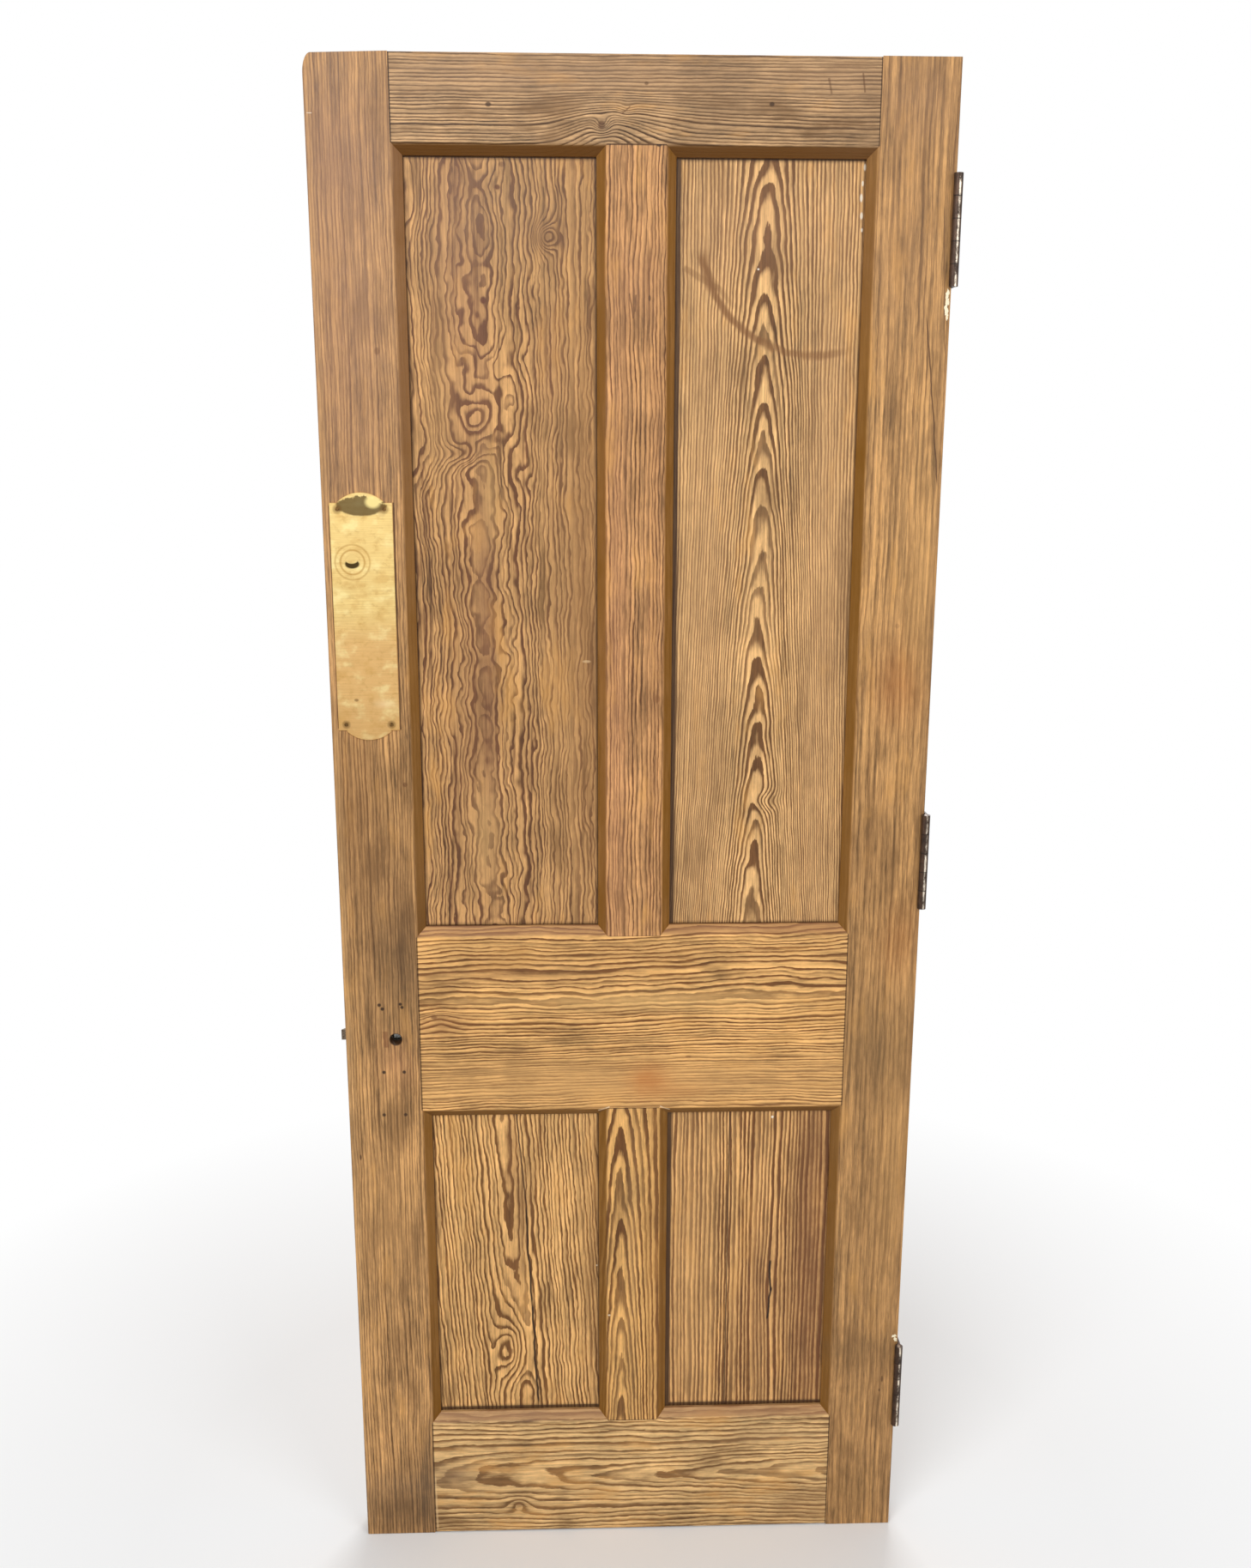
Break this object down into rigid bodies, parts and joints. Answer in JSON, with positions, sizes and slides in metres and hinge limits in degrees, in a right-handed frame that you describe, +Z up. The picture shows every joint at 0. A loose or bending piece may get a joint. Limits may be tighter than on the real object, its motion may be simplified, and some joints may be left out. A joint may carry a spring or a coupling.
{
  "type": "interior door",
  "caption": "Stripped softwood door leaf with sunk panels, butt hinges folded shut, a brass finger plate and a sprung mortice latch.",
  "frame": {"origin": "middle of the slab's foot: half of its width, half of its thickness, on the floor line", "axes": "+X to the hinge edge seen from the front, +Y into the door from its front face, +Z up"},
  "size_m": [0.7767, 0.0545, 1.981],
  "materials": {
    "pine": "stripped and waxed",
    "wedge_wood": "end grain, waxed",
    "brass": "polished, worn",
    "hinge_iron": "dark, rubbed on the knuckles",
    "pin_steel": "dull",
    "screw_steel": "dull",
    "latch_steel": "dull",
    "bolt_metal": "rubbed"
  },
  "bodies": {
    "frame_leaves": {"frame_leaf_top": "hinge_iron", "hinge_pin_top": "pin_steel", "frame_leaf_middle": "hinge_iron", "hinge_pin_middle": "pin_steel", "frame_leaf_bottom": "hinge_iron", "hinge_pin_bottom": "pin_steel"},
    "door": {"lock_stile": "pine", "hinge_stile": "pine", "top_rail": "pine", "lock_rail": "pine", "bottom_rail": "pine", "upper_muntin": "pine", "lower_muntin": "pine", "upper_left_panel": "pine", "upper_right_panel": "pine", "lower_left_panel": "pine", "lower_right_panel": "pine", "top_rail_wedges": "wedge_wood", "lock_rail_wedges": "wedge_wood", "bottom_rail_wedges": "wedge_wood", "finger_plate": "brass", "finger_plate_screws": "brass", "latch_case": "latch_steel", "latch_forend": "brass", "latch_screws": "brass", "latch_spring": "latch_steel", "stile_leaf_top": "hinge_iron", "hinge_screws_top": "screw_steel", "stile_leaf_middle": "hinge_iron", "hinge_screws_middle": "screw_steel", "stile_leaf_bottom": "hinge_iron", "hinge_screws_bottom": "screw_steel"},
    "latch_bolt": {"latch_bolt": "bolt_metal"},
    "latch_follower": {"latch_follower": "bolt_metal"}
  },
  "joints": [
    {"name": "door_swing", "type": "hinge", "parent": "frame_leaves", "child": "door", "pos_m": [0.38175, -0.027, 0], "axis": [0, 0, 1], "range_deg": [0, 180]},
    {"name": "latch_bolt_slide", "type": "slide", "parent": "door", "child": "latch_bolt", "axis": [1, 0, 0], "range_m": [0, 0.0085], "stiffness_N_per_m": 300, "springref_m": -0.02, "deforming": ["latch_spring"]},
    {"name": "latch_follower_turn", "type": "hinge", "parent": "door", "child": "latch_follower", "pos_m": [-0.3145, 0, 0.77], "axis": [0, -1, 0], "range_deg": [0, 45]}
  ],
  "couplings": [
    {"joint": "latch_follower_turn", "follows": "latch_bolt_slide", "rad_per_m": 92}
  ]
}
